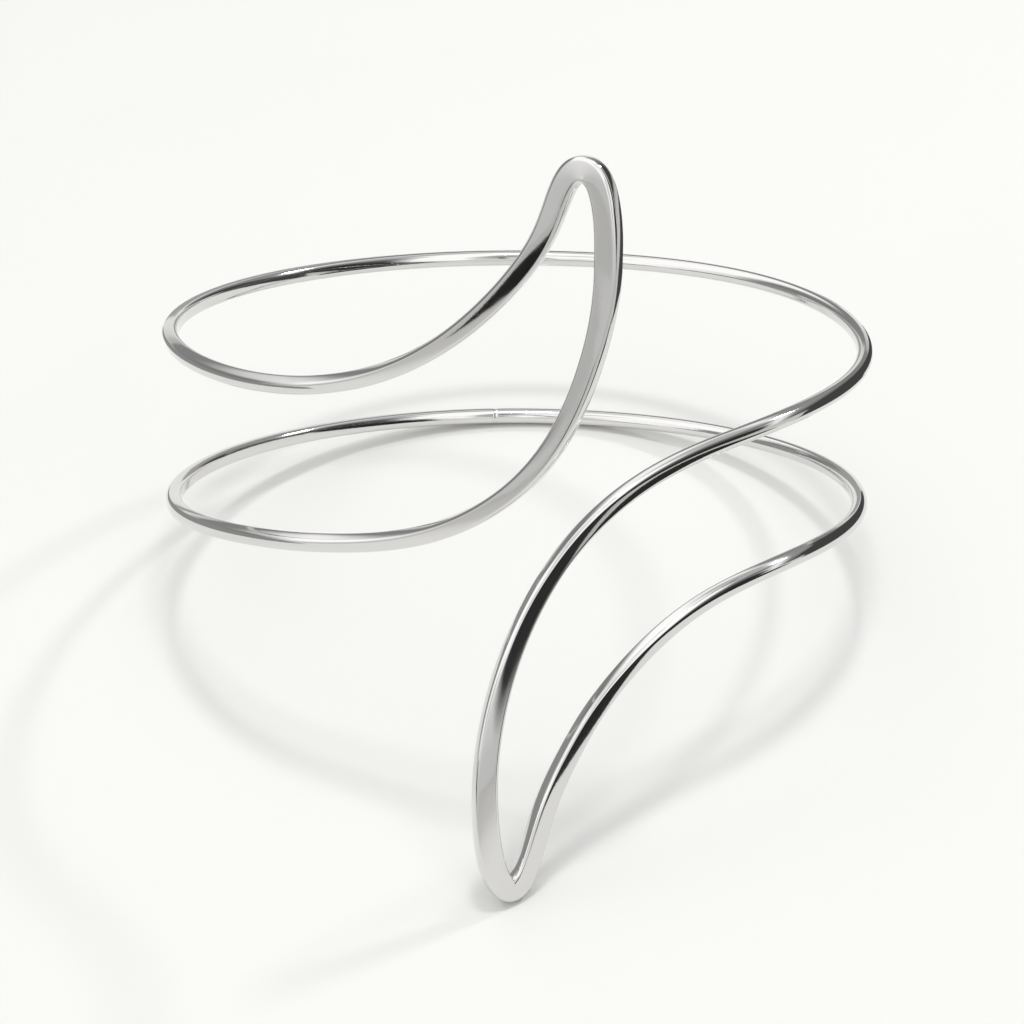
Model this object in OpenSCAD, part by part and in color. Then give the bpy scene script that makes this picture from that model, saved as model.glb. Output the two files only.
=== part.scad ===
// Upper arm cuff of one closed loop of polished silver wire. Two rings lie one
// above the other round the back of the arm. At the front left both rings run out
// into a hairpin that rises to a rounded tip, and at the front right both run out
// into a hairpin that drops to the other tip. The wire is a softened square round
// the back and is forged into a flat strip at the tips.
//
// The cuff is modelled about the arm's axis and is then set down as it rests by
// itself: on the back of its lower ring and on its lower tip, leaning back.

/* [Oval] */
// Width of the oval that both rings follow, between the middles of the wire
oval_w = 78.6; // [68:0.2:92]
// Depth of the oval from front to back, between the middles of the wire
oval_d = 67.5; // [58:0.5:80]
// Height from the middle of the lower ring to the middle of the upper ring
ring_gap = 20; // [16:0.5:26]

/* [Hairpins] */
// Height of the upper tip above the middle of the cuff, at the middle of the wire
upper_rise = 39; // [32:0.5:48]
// Depth of the lower tip below the middle of the cuff, at the middle of the wire
lower_drop = 39; // [32:0.5:48]
// Angle left of the front where the rings leave the oval for the upper hairpin
upper_leave = 38; // [32:1:44]
// Angle right of the front where the rings leave the oval for the lower hairpin
lower_leave = 29; // [24:1:34]

/* [Wire] */
// Thickness of the wire, from the arm outwards
wire_t = 1.7; // [1.2:0.05:2.2]
// Width of the wire round the back of the rings
wire_w = 1.7; // [1.2:0.05:2.2]
// Width of the forged strip at the tips
strip_w = 2.8; // [2:0.05:3]
// Radius of the softened edges along the wire
edge_r = 0.45; // [0.2:0.05:0.55]

/* [Rest] */
// Turn of the cuff about the arm's axis, which brings both resting points in line
rest_turn = 5.6; // [0:0.1:12]
// Sideways roll at which the cuff balances on its two resting points
rest_roll = 0.6; // [-3:0.1:3]

/* [Hidden] */

// Fineness of the surface: rings of points for each row of the tables, and points
// round the wire, a quarter of them on each softened edge
row_steps = 7;
wire_points = 16;

// Number of rows that carry each ring round the back, from one table to the other
lower_back_rows = 5;
upper_back_rows = 4;

// Each row of the tables that follow is [way, level, flat, twist]. way is the way
// gone along the oval, in degrees from the front, which goes on at the same measure
// along a straight run-out. level is 0 at the middle of the cuff, 1 at the rings and
// 2 at the tips. flat is 0 for the square wire and 1 for the full strip. twist turns
// the flat face about the wire, in degrees from facing straight outwards.
function row_way(row) = row[0];
function row_level(row) = row[1];
function row_flat(row) = row[2];
function row_twist(row) = row[3];

// Upper hairpin, from the left side of the upper ring over the tip to the left side
// of the lower ring. The ways count from the front, with the left side below zero.
upper_hairpin = [
    [-71.5,  1.00, 0.00,  24],
    [-39.5,  1.00, 0.00,  32],
    [-19.5,  1.17, 0.05,  10],
    [ -6.0,  1.42, 0.45,  10],
    [  3.0,  1.67, 0.60,  10],
    [  5.5,  1.84, 0.70,   0],
    [  7.5,  1.94, 0.85,  -6],
    [ 10.0,  1.97, 0.95,  -8],
    [ 13.0,  1.94, 1.00,   2],
    [ 14.5,  1.79, 1.00,   7],
    [ 14.5,  1.65, 1.00,   5],
    [ 14.5,  1.54, 0.85,  -1],
    [ 12.5,  1.28, 0.50,   8],
    [  4.0,  0.47, 0.40,  12],
    [-19.0, -0.54, 0.05, -22],
    [-52.5, -0.73, 0.00, -26],
];

// Lower hairpin, from the right side of the lower ring over the tip to the right
// side of the upper ring. The ways count on round the back, so the front is -360.
lower_hairpin = [
    [-295.0, -1.00, 0.00, -15],
    [-331.5, -1.00, 0.05, -28],
    [-352.5, -1.35, 0.20,   2],
    [-359.0, -1.56, 0.45,  -1],
    [-364.0, -1.75, 0.60,  -3],
    [-366.5, -1.94, 0.75,  -4],
    [-368.5, -2.06, 0.80,   0],
    [-371.0, -2.09, 0.85,   4],
    [-373.5, -2.02, 1.00,  -5],
    [-375.0, -1.88, 1.00, -12],
    [-375.5, -1.73, 0.90, -16],
    [-375.5, -1.55, 0.75, -18],
    [-373.0, -1.24, 0.50, -15],
    [-364.5, -0.59, 0.25, -12],
    [-348.5,  0.27, 0.15,   6],
    [-320.0,  0.65, 0.00,  15],
    [-280.0,  0.76, 0.00,   0],
];

function last(list) = list[len(list) - 1];

// Rows that carry a ring round the back between two rows of the tables
function back_rows(from, to, count, level) = [
    for (i = [1 : count])
        let (share = i / (count + 1))
            [row_way(from) + share * (row_way(to) - row_way(from)), level, 0, 0]
];

// All rows of the loop, in order round the wire
table_rows = concat(
    upper_hairpin,
    back_rows(last(upper_hairpin), lower_hairpin[0], lower_back_rows, -1),
    lower_hairpin,
    back_rows(last(lower_hairpin), upper_hairpin[0], upper_back_rows, 1)
);

// Height above the middle of the cuff of a level in the tables
function height(level) =
    let (tip = level > 0 ? upper_rise : lower_drop, past_ring = abs(level) - 1)
        sign(level) * (past_ring < 0
            ? abs(level) * ring_gap / 2
            : ring_gap / 2 + past_ring * (tip - ring_gap / 2));

// The same rows with a height in millimetres in the place of the level
function row_height(row) = row[1];

rows = [
    for (row = table_rows)
        [row_way(row), height(row_level(row)), row_flat(row), row_twist(row)]
];

// Weights of four neighbouring rows at a share t of the way between the middle two,
// which give one smooth closed curve
function blend_weights(t) = [
    pow(1 - t, 3) / 6,
    (3 * pow(t, 3) - 6 * pow(t, 2) + 4) / 6,
    (-3 * pow(t, 3) + 3 * pow(t, 2) + 3 * t + 1) / 6,
    pow(t, 3) / 6
];

function blended_row(first, t) =
    let (weights = blend_weights(t), count = len(rows))
        weights[0] * rows[(first + count - 1) % count]
        + weights[1] * rows[first % count]
        + weights[2] * rows[(first + 1) % count]
        + weights[3] * rows[(first + 2) % count];

stations = [
    for (first = [0 : len(rows) - 1], step = [0 : row_steps - 1])
        blended_row(first, step / row_steps)
];

// Whether a way belongs to the left half of the loop, whose run-out goes to the right
function on_left(way) = way > -180;

// Way gone past the point where the wire leaves the oval, below zero while on it
function run_out(way) =
    on_left(way) ? way + upper_leave : lower_leave - (way + 360);

// Angle from the front at which the wire lies at a way
function turn(way) =
    let (
        past = run_out(way),
        swing = past > 0 ? atan(past * PI / 180) : past
    )
        on_left(way) ? swing - upper_leave : lower_leave - swing;

// Middle of the wire: on the oval, or on its tangent past the leaving point
function middle(row) =
    let (
        past = max(run_out(row_way(row)), 0) * PI / 180,
        reach = sqrt(1 + past * past),
        angle = turn(row_way(row))
    )
        [
            reach * oval_w / 2 * sin(angle),
            -reach * oval_d / 2 * cos(angle),
            row_height(row)
        ];

// Level direction that faces outwards, square to the oval or to the run-out
function outwards(row) =
    let (
        angle = run_out(row_way(row)) > 0
            ? (on_left(row_way(row)) ? -upper_leave : lower_leave)
            : turn(row_way(row)),
        face = [sin(angle) / oval_w, -cos(angle) / oval_d, 0]
    )
        face / norm(face);

middles = [for (row = stations) middle(row)];

function along(i) =
    let (
        count = len(middles),
        step = middles[(i + 1) % count] - middles[(i + count - 1) % count]
    )
        step / norm(step);

// Width of the wire at a share of the full strip
function width(flat) = wire_w + flat * (strip_w - wire_w);

// Outline of the wire with softened edges, as [sideways, outwards] pairs
function outline(wide) = [
    for (i = [0 : wire_points - 1])
        let (
            angle = (i + 0.5) * 360 / wire_points,
            corner = [wide / 2 - edge_r, wire_t / 2 - edge_r]
        )
            [
                sign(cos(angle)) * corner[0] + edge_r * cos(angle),
                sign(sin(angle)) * corner[1] + edge_r * sin(angle)
            ]
];

// One ring of points round the wire
function wire_ring(i) =
    let (
        row = stations[i],
        forward = along(i),
        level_out = outwards(row),
        plain_out = level_out - (level_out * forward) * forward,
        square_out = plain_out / norm(plain_out),
        edge = cross(forward, square_out),
        out = cos(row_twist(row)) * square_out + sin(row_twist(row)) * edge,
        side = cross(forward, out)
    )
        [for (p = outline(width(row_flat(row)))) middles[i] + p[0] * side + p[1] * out];

upright_points = [
    for (i = [0 : len(stations) - 1])
        for (p = wire_ring(i)) p
];

// Lean and roll of a point about the middle of the cuff, after its turn
function turned(p) = [
    p[0] * cos(rest_turn) - p[1] * sin(rest_turn),
    p[0] * sin(rest_turn) + p[1] * cos(rest_turn),
    p[2]
];

function leaned(p, lean) = [
    p[0],
    p[1] * cos(lean) + p[2] * sin(lean),
    p[2] * cos(lean) - p[1] * sin(lean)
];

function rolled(p) = [
    p[0] * cos(rest_roll) + p[2] * sin(rest_roll),
    p[1],
    p[2] * cos(rest_roll) - p[0] * sin(rest_roll)
];

function settled(lean) = [for (p = upright_points) rolled(leaned(turned(p), lean))];

function lowest(points) =
    let (bottom = min([for (p = points) p[2]]))
        [for (p = points) if (p[2] == bottom) p][0];

// Lean at which the back of the lower ring and the lower tip touch one level floor,
// found by closing the slope between the two lowest points a few times
lean_rounds = 6;

function resting_lean(lean, rounds) =
    rounds <= 0
        ? lean
        : let (
            points = settled(lean),
            back = lowest([for (p = points) if (p[1] > 0) p]),
            front = lowest([for (p = points) if (p[1] < 0) p])
        )
            resting_lean(
                lean + atan2(back[2] - front[2], back[1] - front[1]),
                rounds - 1
            );

resting_points = settled(resting_lean(0, lean_rounds));

function span_middle(axis) =
    let (values = [for (p = resting_points) p[axis]])
        (min(values) + max(values)) / 2;

// Point under the middle of the cuff's own box, which becomes the origin
floor_middle = [
    span_middle(0),
    span_middle(1),
    min([for (p = resting_points) p[2]])
];

// Two triangles for each patch between neighbouring rings, closed round the loop
wire_faces = [
    for (i = [0 : len(stations) - 1])
        for (j = [0 : wire_points - 1])
            let (
                here = i * wire_points,
                next = ((i + 1) % len(stations)) * wire_points,
                k = (j + 1) % wire_points
            )
                each [
                    [here + j, here + k, next + k],
                    [here + j, next + k, next + j]
                ]
];

module cuff_band() {
    color("silver")
        polyhedron(
            points = [for (p = resting_points) p - floor_middle],
            faces = wire_faces
        );
}

cuff_band();
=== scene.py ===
from math import atan, cos, exp, hypot, pi, radians, sin

import bpy
from mathutils import Matrix, Vector


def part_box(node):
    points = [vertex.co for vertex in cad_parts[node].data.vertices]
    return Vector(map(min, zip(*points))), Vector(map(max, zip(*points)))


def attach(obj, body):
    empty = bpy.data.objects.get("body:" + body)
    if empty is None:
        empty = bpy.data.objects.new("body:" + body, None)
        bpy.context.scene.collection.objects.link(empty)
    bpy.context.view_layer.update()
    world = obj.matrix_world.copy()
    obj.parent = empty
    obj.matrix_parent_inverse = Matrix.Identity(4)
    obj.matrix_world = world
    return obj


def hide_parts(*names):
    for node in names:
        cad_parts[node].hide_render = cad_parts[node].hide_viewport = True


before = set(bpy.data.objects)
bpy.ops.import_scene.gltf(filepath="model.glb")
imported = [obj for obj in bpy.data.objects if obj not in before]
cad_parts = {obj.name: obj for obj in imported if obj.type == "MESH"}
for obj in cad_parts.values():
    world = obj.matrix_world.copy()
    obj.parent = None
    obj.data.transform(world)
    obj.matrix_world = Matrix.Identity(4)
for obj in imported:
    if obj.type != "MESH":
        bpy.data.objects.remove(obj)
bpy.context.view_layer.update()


# The wire's run. The real cuff is one length of sterling silver wire, bent cold
# round an oval former into two rings and two hairpins and soldered end to end at
# the back of the lower ring. Sizes are in millimetres until the mesh is made.

oval_width, oval_depth, ring_gap = 78.6, 67.5, 20
upper_rise, lower_drop = 39, 39
upper_leave, lower_leave = 38, 29

# One row for each place where the bend changes: the way gone along the oval in
# degrees from the front, the level (1 at the rings, 2 at the tips), how far the wire
# is forged flat, and how far its flat face is twisted from straight outwards.
upper_hairpin = [
    (-71.5,  1.00, 0.00,  24),
    (-39.5,  1.00, 0.00,  32),
    (-19.5,  1.17, 0.05,  10),
    ( -6.0,  1.42, 0.45,  10),
    (  3.0,  1.67, 0.60,  10),
    (  5.5,  1.84, 0.70,   0),
    (  7.5,  1.94, 0.85,  -6),
    ( 10.0,  1.97, 0.95,  -8),
    ( 13.0,  1.94, 1.00,   2),
    ( 14.5,  1.79, 1.00,   7),
    ( 14.5,  1.65, 1.00,   5),
    ( 14.5,  1.54, 0.85,  -1),
    ( 12.5,  1.28, 0.50,   8),
    (  4.0,  0.47, 0.40,  12),
    (-19.0, -0.54, 0.05, -22),
    (-52.5, -0.73, 0.00, -26),
]
lower_hairpin = [
    (-295.0, -1.00, 0.00, -15),
    (-331.5, -1.00, 0.05, -28),
    (-352.5, -1.35, 0.20,   2),
    (-359.0, -1.56, 0.45,  -1),
    (-364.0, -1.75, 0.60,  -3),
    (-366.5, -1.94, 0.75,  -4),
    (-368.5, -2.06, 0.80,   0),
    (-371.0, -2.09, 0.85,   4),
    (-373.5, -2.02, 1.00,  -5),
    (-375.0, -1.88, 1.00, -12),
    (-375.5, -1.73, 0.90, -16),
    (-375.5, -1.55, 0.75, -18),
    (-373.0, -1.24, 0.50, -15),
    (-364.5, -0.59, 0.25, -12),
    (-348.5,  0.27, 0.15,   6),
    (-320.0,  0.65, 0.00,  15),
    (-280.0,  0.76, 0.00,   0),
]


def round_the_back(start, end, count, level):
    """Rows that carry a ring round the back of the arm between two hairpins."""
    return [(start + (end - start) * i / (count + 1), level, 0, 0) for i in range(1, count + 1)]


def height(level):
    """Height above the middle of the cuff of a level in the rows."""
    tip = upper_rise if level > 0 else lower_drop
    past_ring = abs(level) - 1
    side = 1 if level > 0 else -1
    if past_ring < 0:
        return side * abs(level) * ring_gap / 2
    return side * (ring_gap / 2 + past_ring * (tip - ring_gap / 2))


bends = (
    upper_hairpin
    + round_the_back(upper_hairpin[-1][0], lower_hairpin[0][0], 5, -1)
    + lower_hairpin
    + round_the_back(lower_hairpin[-1][0], upper_hairpin[0][0], 4, 1)
)
bends = [(way, height(level), flat, twist) for way, level, flat, twist in bends]


def bend_at(place):
    """The row at a place along the wire, blended smoothly from the four nearest."""
    first, t = int(place // 1), place % 1
    weights = (
        (1 - t) ** 3 / 6,
        (3 * t ** 3 - 6 * t ** 2 + 4) / 6,
        (-3 * t ** 3 + 3 * t ** 2 + 3 * t + 1) / 6,
        t ** 3 / 6,
    )
    near = [bends[(first + k) % len(bends)] for k in (-1, 0, 1, 2)]
    return [sum(w * row[column] for w, row in zip(weights, near)) for column in range(4)]


def middle_and_face(way, high):
    """Middle of the wire, and the level direction in which it faces outwards."""
    left = way > -180
    past = way + upper_leave if left else lower_leave - (way + 360)
    swing = atan(past * pi / 180) * 180 / pi if past > 0 else past
    turn = swing - upper_leave if left else lower_leave - swing
    leave = -upper_leave if left else lower_leave
    reach = hypot(1, max(past, 0) * pi / 180)
    middle = Vector((
        reach * oval_width / 2 * sin(radians(turn)),
        -reach * oval_depth / 2 * cos(radians(turn)),
        high,
    ))
    facing = radians(leave if past > 0 else turn)
    return middle, Vector((sin(facing) / oval_width, -cos(facing) / oval_depth, 0)).normalized()


# The cuff lies as it rests by itself, on the back of its lower ring and its lower tip.
rest_turn, rest_lean, rest_roll = 5.6, 22.92, 0.6
at_rest = (
    Matrix.Rotation(radians(rest_roll), 4, "Y")
    @ Matrix.Rotation(radians(-rest_lean), 4, "X")
    @ Matrix.Rotation(radians(rest_turn), 4, "Z")
)

# Places along the wire at which it is drawn, closer together on the solder joint,
# where the wire's two ends meet at the back of the lower ring.
joint_place, joint_reach, joint_half_width = 18.18, 0.09, 0.13
steps, joint_steps = 24, 40
places = [k / steps for k in range(len(bends) * steps)]
places = [place for place in places if abs(place - joint_place) > joint_reach]
places += [
    joint_place + joint_reach * k / joint_steps for k in range(-joint_steps, joint_steps + 1)
]
places.sort()

spine = []
for place in places:
    way, high, flat, twist = bend_at(place)
    middle, face = middle_and_face(way, high)
    spine.append((at_rest @ middle, at_rest.to_3x3() @ face, flat, radians(twist)))

to_metres = 0.001
run = bpy.data.meshes.new("wire_run")
run.from_pydata(
    [p * to_metres for p, face, flat, twist in spine],
    [(k, (k + 1) % len(spine)) for k in range(len(spine))],
    [],
)
joint_middle = at_rest @ middle_and_face(*bend_at(joint_place)[:2])[0]


def roundness(p, flat):
    """How round the wire is: round at the back and on the right, square on the left."""
    change_over, pull_of_the_back = 20, 0.6
    share = 0.5 + (p.x + pull_of_the_back * p.y) / change_over
    return (1 - flat) * min(max(share, 0), 1)


def joint_share(p):
    """How near a point is to the middle of the solder joint, 1 on the joint itself."""
    return exp(-((p - joint_middle).length / joint_half_width) ** 2)


for name, kind, values in (
    ("face", "FLOAT_VECTOR", [tuple(face) for p, face, flat, twist in spine]),
    ("flat", "FLOAT", [flat for p, face, flat, twist in spine]),
    ("twist", "FLOAT", [twist for p, face, flat, twist in spine]),
    ("round", "FLOAT", [roundness(p, flat) for p, face, flat, twist in spine]),
    ("joint", "FLOAT", [joint_share(p) for p, face, flat, twist in spine]),
):
    layer = run.attributes.new(name, kind, "POINT")
    for item, value in zip(layer.data, values):
        if kind == "FLOAT":
            item.value = value
        else:
            item.vector = value
band = bpy.data.objects.new("cuff_wire", run)
bpy.context.scene.collection.objects.link(band)


# The wire's section: drawn square wire with softened edges and slightly crowned
# faces, rounder at the back and on the right, forged wider and flat towards the tips.
# Each point keeps the corner that it belongs to and its share of that rounding.

arc_steps = 7
face_points = (-0.86, -0.45, 0.0, 0.45, 0.86)
section = []
for start, corner, face in (
    (0, (1, 1), (0, 1)),
    (90, (-1, 1), (-1, 0)),
    (180, (-1, -1), (0, -1)),
    (270, (1, -1), (1, 0)),
):
    for k in range(arc_steps + 1):
        angle = radians(start + 90 * k / arc_steps)
        section.append((corner, (cos(angle), sin(angle))))
    for share in face_points:
        section.append(((face[0] - share * face[1], face[1] + share * face[0]), face))

outline = bpy.data.meshes.new("wire_section")
outline.from_pydata(
    [(c[0] * 0.5 + a[0] * 0.5, c[1] * 0.5 + a[1] * 0.5, 0) for c, a in section],
    [(k, (k + 1) % len(section)) for k in range(len(section))],
    [],
)
for name, values in (("corner", [c for c, a in section]), ("arc", [a for c, a in section])):
    layer = outline.attributes.new(name, "FLOAT_VECTOR", "POINT")
    for item, value in zip(layer.data, values):
        item.vector = (*value, 0)
profile = bpy.data.objects.new("wire_section", outline)
bpy.context.scene.collection.objects.link(profile)


class Out:
    """One output socket. Sums and products of outputs add the Math nodes they need."""

    def __init__(self, socket):
        self.socket, self.tree = socket, socket.id_data

    @staticmethod
    def of(tree, kind, settings=(), sockets=(), out=0):
        """Any node: its settings come first, then the values or links of its sockets."""
        made = tree.nodes.new(kind)
        for name, value in dict(settings).items():
            setattr(made, name, value)
        for name, value in dict(sockets).items():
            if isinstance(value, Out):
                tree.links.new(value.socket, made.inputs[name])
            else:
                made.inputs[name].default_value = value
        return Out(made.outputs[out]) if made.outputs else made

    def maths(self, operation, *others):
        return Out.of(self.tree, "ShaderNodeMath", {"operation": operation},
                      dict(enumerate((self, *others))))

    def vector(self, operation, *others):
        out = 1 if operation == "DOT_PRODUCT" else 0
        return Out.of(self.tree, "ShaderNodeVectorMath", {"operation": operation},
                      dict(enumerate((self, *others))), out)

    def scaled(self, share):
        return Out.of(self.tree, "ShaderNodeVectorMath", {"operation": "SCALE"},
                      {0: self, "Scale": share})

    def axes(self):
        """The three parts of a vector."""
        split = Out.of(self.tree, "ShaderNodeSeparateXYZ", {}, {0: self}).socket.node
        return [Out(split.outputs[name]) for name in ("X", "Y", "Z")]

    def limited(self, low, high):
        return self.maths("MAXIMUM", low).maths("MINIMUM", high)

    def __add__(self, other): return self.maths("ADD", other)
    def __radd__(self, other): return self.maths("ADD", other)
    def __sub__(self, other): return self.maths("SUBTRACT", other)
    def __rsub__(self, other): return self.maths("MULTIPLY_ADD", -1, other)
    def __mul__(self, other): return self.maths("MULTIPLY", other)
    def __rmul__(self, other): return self.maths("MULTIPLY", other)
    def __truediv__(self, other): return self.maths("DIVIDE", other)
    def __neg__(self): return self.maths("MULTIPLY", -1)


# Polished sterling silver: a near-white mirror, buffed by hand. Very fine buffing
# marks and a slight unevenness are left in it.

silver = bpy.data.materials.new("polished_silver")
silver.use_nodes = True
tree = silver.node_tree
tree.nodes.clear()
place = Out.of(tree, "ShaderNodeTexCoord", out="Object")
grain = Out.of(tree, "ShaderNodeTexNoise", {}, {
    "Vector": place, "Scale": 6000, "Detail": 2}, "Fac")
uneven = Out.of(tree, "ShaderNodeTexNoise", {}, {
    "Vector": place, "Scale": 260, "Detail": 1}, "Fac")
fine = Out.of(tree, "ShaderNodeBump", {}, {
    "Strength": 0.05, "Distance": 0.00002, "Height": grain})
waves = Out.of(tree, "ShaderNodeBump", {}, {
    "Strength": 0.25, "Distance": 0.00006, "Height": uneven, "Normal": fine})
metal = Out.of(tree, "ShaderNodeBsdfPrincipled", {}, {
    "Base Color": (0.72, 0.714, 0.707, 1), "Metallic": 1.0,
    "Roughness": 0.05 + grain * 0.04, "Normal": waves})
Out.of(tree, "ShaderNodeOutputMaterial", {}, {"Surface": metal})


# The band itself: the section is swept along the run, turned to face outwards and
# widened where the wire is forged flat. The solder joint is a shallow groove.

sweep = bpy.data.node_groups.new("wire_sweep", "GeometryNodeTree")
for name, kind, value in (
    ("Run", "NodeSocketGeometry", None),
    ("Section", "NodeSocketObject", None),
    ("Thickness", "NodeSocketFloat", 0.0017),
    ("Wire width", "NodeSocketFloat", 0.0017),
    ("Strip width", "NodeSocketFloat", 0.0028),
    ("Edge radius", "NodeSocketFloat", 0.00045),
    ("Added radius", "NodeSocketFloat", 0.00027),
    ("Added width", "NodeSocketFloat", 0.00012),
    ("Crown", "NodeSocketFloat", 0.00002),
    ("Joint depth", "NodeSocketFloat", 0.00007),
    ("Metal", "NodeSocketMaterial", None),
):
    entry = sweep.interface.new_socket(name, in_out="INPUT", socket_type=kind)
    if value is not None:
        entry.default_value = value
sweep.interface.new_socket("Band", in_out="OUTPUT", socket_type="NodeSocketGeometry")

entries = sweep.nodes.new("NodeGroupInput")
given = {socket.name: Out(socket) for socket in entries.outputs if socket.name}


def kept(name, kind="FLOAT"):
    return Out.of(sweep, "GeometryNodeInputNamedAttribute", {"data_type": kind}, {"Name": name})


def keep(geometry, name, value, kind="FLOAT_VECTOR"):
    return Out.of(sweep, "GeometryNodeStoreNamedAttribute", {"data_type": kind, "domain": "POINT"},
                  {"Geometry": geometry, "Name": name, "Value": value})


line = Out.of(sweep, "GeometryNodeMeshToCurve", {}, {"Mesh": given["Run"]})
along = Out.of(sweep, "GeometryNodeInputTangent")
face, twist = kept("face", "FLOAT_VECTOR"), kept("twist")
plain = face.vector("SUBTRACT", along.scaled(face.vector("DOT_PRODUCT", along))).vector("NORMALIZE")
edge = along.vector("CROSS_PRODUCT", plain)
out = plain.scaled(twist.maths("COSINE")).vector("ADD", edge.scaled(twist.maths("SINE")))
side = along.vector("CROSS_PRODUCT", out)
line = keep(line, "centre", Out.of(sweep, "GeometryNodeInputPosition"))
line = keep(line, "outwards", out)
line = keep(line, "sideways", side)

ring = Out.of(sweep, "GeometryNodeObjectInfo", {}, {"Object": given["Section"]}, "Geometry")
ring = Out.of(sweep, "GeometryNodeMeshToCurve", {}, {"Mesh": ring})
skin = Out.of(sweep, "GeometryNodeCurveToMesh", {}, {"Curve": line, "Profile Curve": ring})

# Every point of the skin goes to its place in the section, which is rounder, wider or
# grooved as the run says.
corner_side, corner_out, _ = kept("corner", "FLOAT_VECTOR").axes()
arc_side, arc_out, _ = kept("arc", "FLOAT_VECTOR").axes()
width = given["Wire width"] + kept("flat") * (given["Strip width"] - given["Wire width"])
rounding = given["Edge radius"] + kept("round") * given["Added radius"]
crown = given["Crown"]
to_side = (corner_side * (width * 0.5 - rounding) + arc_side * rounding
           + crown * corner_side * (1 - corner_out * corner_out))
to_out = (corner_out * (given["Thickness"] * 0.5 - rounding) + arc_out * rounding
          + crown * corner_out * (1 - corner_side * corner_side))
grown = 1 + kept("round") * (given["Added width"] / given["Thickness"])
groove = grown - kept("joint") * (given["Joint depth"] / (given["Thickness"] * 0.5))
moved = kept("centre", "FLOAT_VECTOR").vector(
    "ADD", kept("sideways", "FLOAT_VECTOR").scaled(to_side * groove)
).vector("ADD", kept("outwards", "FLOAT_VECTOR").scaled(to_out * groove))
skin = Out.of(sweep, "GeometryNodeSetPosition", {}, {"Geometry": skin, "Position": moved})
skin = Out.of(sweep, "GeometryNodeFlipFaces", {}, {"Mesh": skin})
skin = Out.of(sweep, "GeometryNodeSetShadeSmooth", {}, {"Geometry": skin, "Shade Smooth": True})
for spent in (
    "corner", "arc", "centre", "outwards", "sideways", "face", "twist", "flat", "round", "joint",
):
    skin = Out.of(sweep, "GeometryNodeRemoveAttribute", {}, {"Geometry": skin, "Name": spent})
skin = Out.of(sweep, "GeometryNodeRealizeInstances", {}, {"Geometry": skin})
skin = Out.of(sweep, "GeometryNodeSetMaterial", {}, {"Geometry": skin, "Material": given["Metal"]})
Out.of(sweep, "NodeGroupOutput", {}, {"Band": skin})

modifier = band.modifiers.new("sweep", "NODES")
modifier.node_group = sweep
for item in sweep.interface.items_tree:
    if item.item_type == "SOCKET" and item.in_out == "INPUT":
        if item.name == "Section":
            modifier[item.identifier] = profile
        elif item.name == "Metal":
            modifier[item.identifier] = silver
evaluated = band.evaluated_get(bpy.context.evaluated_depsgraph_get())
made = bpy.data.meshes.new_from_object(evaluated)
band.modifiers.remove(modifier)
band.data = made
bpy.data.objects.remove(profile)

# The swept wire takes the CAD band's place on the floor.
low, high_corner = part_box("cuff_band")
points = [v.co for v in made.vertices]
mine = [(min(p[a] for p in points), max(p[a] for p in points)) for a in range(3)]
shift = Vector((
    (low[0] + high_corner[0]) / 2 - sum(mine[0]) / 2,
    (low[1] + high_corner[1]) / 2 - sum(mine[1]) / 2,
    low[2] - mine[2][0],
))
made.transform(Matrix.Translation(shift))
made.name = "cuff_wire"
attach(band, "root")
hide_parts("cuff_band")


# A pale tabletop with painted light and shade in its colour. Painted shade darkens it a little away
# from the cuff, and it is painted a little lighter towards the front and darker towards the back,
# to even out the lamps' fall-off.

paper = bpy.data.materials.new("pale_table")
paper.use_nodes = True
tree = paper.node_tree
tree.nodes.clear()
across, inwards, _ = Out.of(tree, "ShaderNodeTexCoord", out="Object").axes()
sideways, forwards = across.maths("ABSOLUTE"), -inwards
# Painted shade: the colour darkens outside a clear patch round the cuff.
clear, fade, painted_shade_loss = 0.07, 0.10, 0.28
off = ((sideways - clear).maths("MAXIMUM", 0).maths("POWER", 2)
       + (forwards - clear).maths("MAXIMUM", 0).maths("POWER", 2)).maths("SQRT")
# Painted light and shade: the colour is a little lighter towards the front and darker towards the
# back.
painted_front_light = 1 + 0.25 * forwards.limited(-0.15, 0.1)
pale = 0.755 * painted_front_light * (1 - painted_shade_loss * (off / fade).maths("MINIMUM", 1))
shade = Out.of(tree, "ShaderNodeCombineColor", {}, {
    "Red": pale, "Green": pale, "Blue": pale * 0.975})
surface = Out.of(tree, "ShaderNodeBsdfPrincipled", {}, {"Base Color": shade, "Roughness": 0.8})
Out.of(tree, "ShaderNodeOutputMaterial", {}, {"Surface": surface})
table = bpy.data.meshes.new("table")
reach = 3
corners = [(-reach, -reach, 0), (reach, -reach, 0), (reach, reach, 0), (-reach, reach, 0)]
table.from_pydata(corners, [], [(0, 1, 2, 3)])
table.materials.append(paper)
floor = bpy.data.objects.new("table", table)
bpy.context.scene.collection.objects.link(floor)


# The studio: a white tent, brighter overhead, with dark openings and grey panels that
# the polished wire mirrors. Each row is one soft-edged panel or opening: its middle
# and half size in degrees, round from the back to the right and up, how soft its edge
# is, how square its corners are (2 for an ellipse) and its brightness.

tent = bpy.data.worlds.new("tent")
tent.use_nodes = True
tree = tent.node_tree
tree.nodes.clear()
east, north, up = Out.of(tree, "ShaderNodeTexCoord", out="Generated").vector("NORMALIZE").axes()
round_back = east.maths("ARCTAN2", north) * (180 / pi)
round_front = east.maths("ARCTAN2", -north) * (180 / pi)
raised = up.maths("ARCSINE") * (180 / pi)


def panel(light, around, middle, half, soft, square, level):
    """Mixes one soft-edged panel of the tent into the light so far."""
    across = ((around - middle[0]).maths("ABSOLUTE") / half[0]).maths("POWER", square)
    above = ((raised - middle[1]).maths("ABSOLUTE") / half[1]).maths("POWER", square)
    edge = soft / min(half)
    inside = ((1 + edge / 2 - (across + above).maths("POWER", 1 / square)) / edge).limited(0, 1)
    return light + (level - light) * inside


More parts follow.
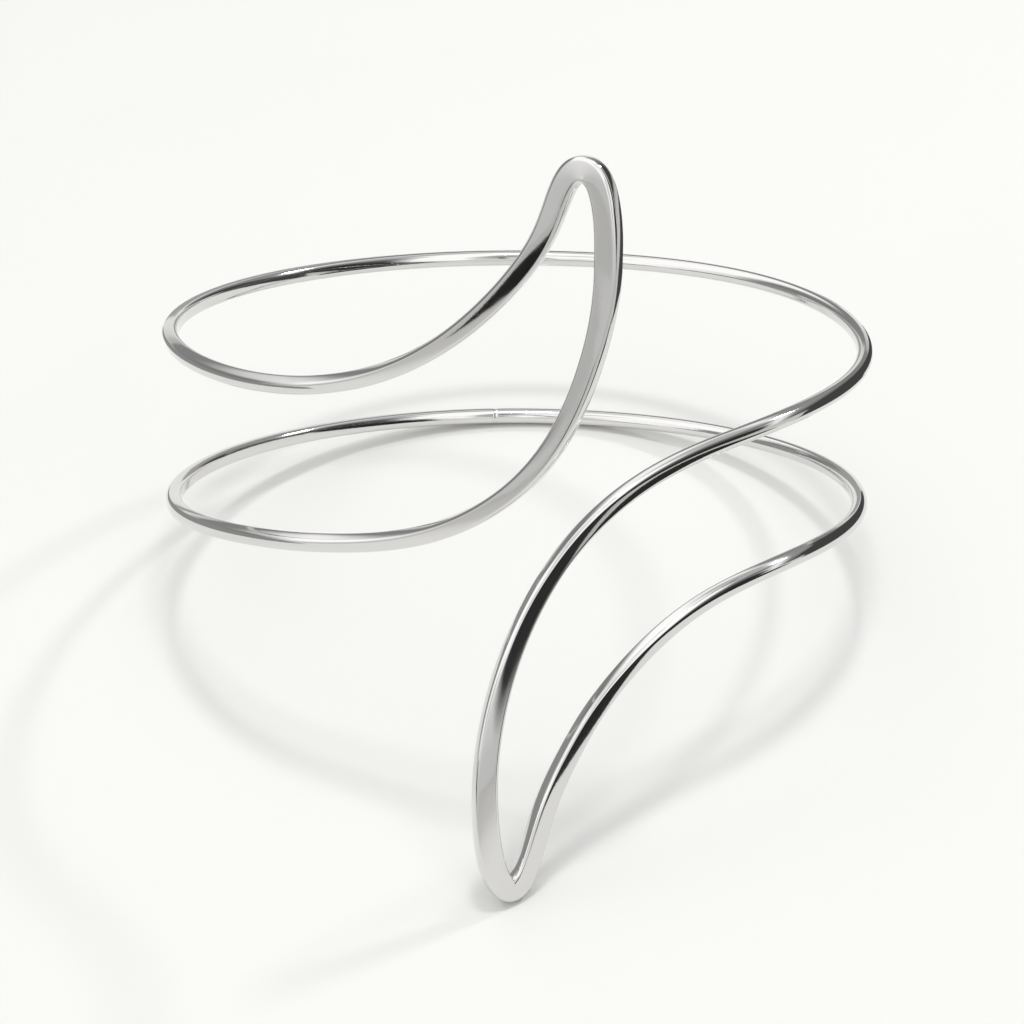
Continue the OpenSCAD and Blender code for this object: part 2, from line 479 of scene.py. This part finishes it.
low_light, more_overhead = 0.62, 0.60
light = low_light + more_overhead * ((raised - 3) / 26).limited(0, 1)
for around, middle, half, soft, square, level in (
    (round_back, (60, 51), (50, 15), 8, 4, 0.50),      # grey roof panel on the right
    (round_back, (92, 48), (28, 15), 12, 2, 0.20),     # its darker end
    (round_back, (6, 45), (22, 12), 8, 3, 0.55),       # grey panel over the back
    (round_back, (114, 14), (24, 36), 10, 2, 0.075),   # dark opening, front right
    (round_back, (108, 26), (11, 13), 6, 2, 0.03),     # its darkest part
    (round_back, (42, -5), (62, 49), 5, 2, 1.05),      # bright hem of the next opening
    (round_back, (42, -5), (55, 42), 6, 2, 0.30),      # dark opening, back right
    (round_back, (55, -8), (40, 32), 10, 2, 0.06),     # its darkest part
    (round_back, (-62, -5), (45, 37), 12, 2, 0.24),    # grey side, left
    (round_back, (-8, 2), (36, 14), 8, 2, 0.26),       # grey foot of the back
    (round_back, (-14, 28), (10, 10), 6, 2, 1.1),      # bright slit at the back
    (round_back, (116, 2), (9, 20), 6, 3, 0.03),       # dark sill, front right
    (round_back, (129, 8), (11, 14), 5, 3, 0.03),
    (round_back, (143, 13), (9, 8), 4, 3, 0.03),
    (round_back, (-140, 15), (9, 8), 5, 2, 1.2),       # bright window, front left
    (round_front, (-16, 22), (12, 9), 6, 2, 0.55),     # grey fold beside it
    (round_front, (-30, 66), (30, 7), 6, 3, 0.70),     # grey fold overhead
    (round_front, (12, 50), (9, 22), 6, 3, 0.45),      # grey strip beside the camera
    (round_front, (0, 40), (4.5, 4.5), 3, 2, 0.5),     # the camera
):
    light = panel(light, around, middle, half, soft, square, level)
glow = Out.of(tree, "ShaderNodeBackground", {}, {"Color": light, "Strength": 1.11})
Out.of(tree, "ShaderNodeOutputWorld", {}, {"Surface": glow})
bpy.context.scene.world = tent


# Curved cards stand nearer to the cuff, and only the metal mirrors them. Each row is a
# card: where it starts and ends in degrees round from the back to the right, its
# distance and its height in metres, and its brightness.

def card(name, start, end, away, tall, glow):
    """A curved card with an arched top."""
    rows = 36
    points, faces = [], []
    for k in range(rows + 1):
        share = k / rows
        angle = radians(start + (end - start) * share)
        x, y = away * sin(angle), away * cos(angle)
        points += [(x, y, 0.0), (x, y, tall * max(1 - (2 * share - 1) ** 4, 0.02))]
    for k in range(rows):
        faces.append((2 * k, 2 * k + 2, 2 * k + 3, 2 * k + 1))
    mesh = bpy.data.meshes.new(name)
    mesh.from_pydata(points, [], faces)
    look = bpy.data.materials.new(name)
    look.use_nodes = True
    look.node_tree.nodes.clear()
    shine = Out.of(look.node_tree, "ShaderNodeEmission", {}, {
        "Color": (glow, glow, glow, 1), "Strength": 1.0})
    Out.of(look.node_tree, "ShaderNodeOutputMaterial", {}, {"Surface": shine})
    mesh.materials.append(look)
    made = bpy.data.objects.new(name, mesh)
    bpy.context.scene.collection.objects.link(made)
    made.visible_camera = made.visible_diffuse = made.visible_shadow = False
    made.visible_transmission = made.visible_volume_scatter = False


for row in (
    ("right_card", 36, 98, 0.092, 0.055, 0.07),
    ("left_card", -128, -42, 0.075, 0.042, 0.33),
    ("back_card", -36, 30, 0.12, 0.02, 0.42),
    ("front_right_card", 102, 153, 0.088, 0.028, 0.03),
    ("far_left_card", -156, -138, 0.32, 0.053, 0.015),
):
    card(*row)


# Two small lamps cast the shadows: one over the back of the cuff, one back right.

def lamp(name, place, size, power):
    """A round soft light that points at the cuff."""
    made = bpy.data.lights.new(name, "AREA")
    made.shape, made.size, made.energy = "DISK", size, power
    holder = bpy.data.objects.new(name, made)
    bpy.context.scene.collection.objects.link(holder)
    holder.location = place
    holder.rotation_mode = "QUATERNION"
    holder.rotation_quaternion = Vector(place).to_track_quat("Z", "Y")


lamp("top_light", (0.010, 0.092, 0.692), 0.095, 1.1)
lamp("right_light", (0.525, 0.474, 0.601), 0.10, 1.6)
bpy.context.scene.view_settings.view_transform = "Standard"


# The camera looks down on the cuff from the front, from about half a metre away.

cam = bpy.data.cameras.new("camera")
cam.lens, cam.sensor_width = 132.16, 36
camera = bpy.data.objects.new("camera", cam)
bpy.context.scene.collection.objects.link(camera)
look_at, distance = Vector((-0.00077, 0.01978, 0)), 0.4516
elevation, azimuth, roll = 40.37, -0.117, -0.143
back = Vector((
    -sin(radians(azimuth)) * cos(radians(elevation)),
    -cos(radians(azimuth)) * cos(radians(elevation)),
    sin(radians(elevation)),
))
camera.location = look_at + back * distance
camera.rotation_mode = "QUATERNION"
level_view = (-back).to_track_quat("-Z", "Y")
camera.rotation_quaternion = level_view @ Matrix.Rotation(radians(roll), 3, "Z").to_quaternion()
cam.clip_start, cam.clip_end = 0.01, 50
bpy.context.scene.camera = camera
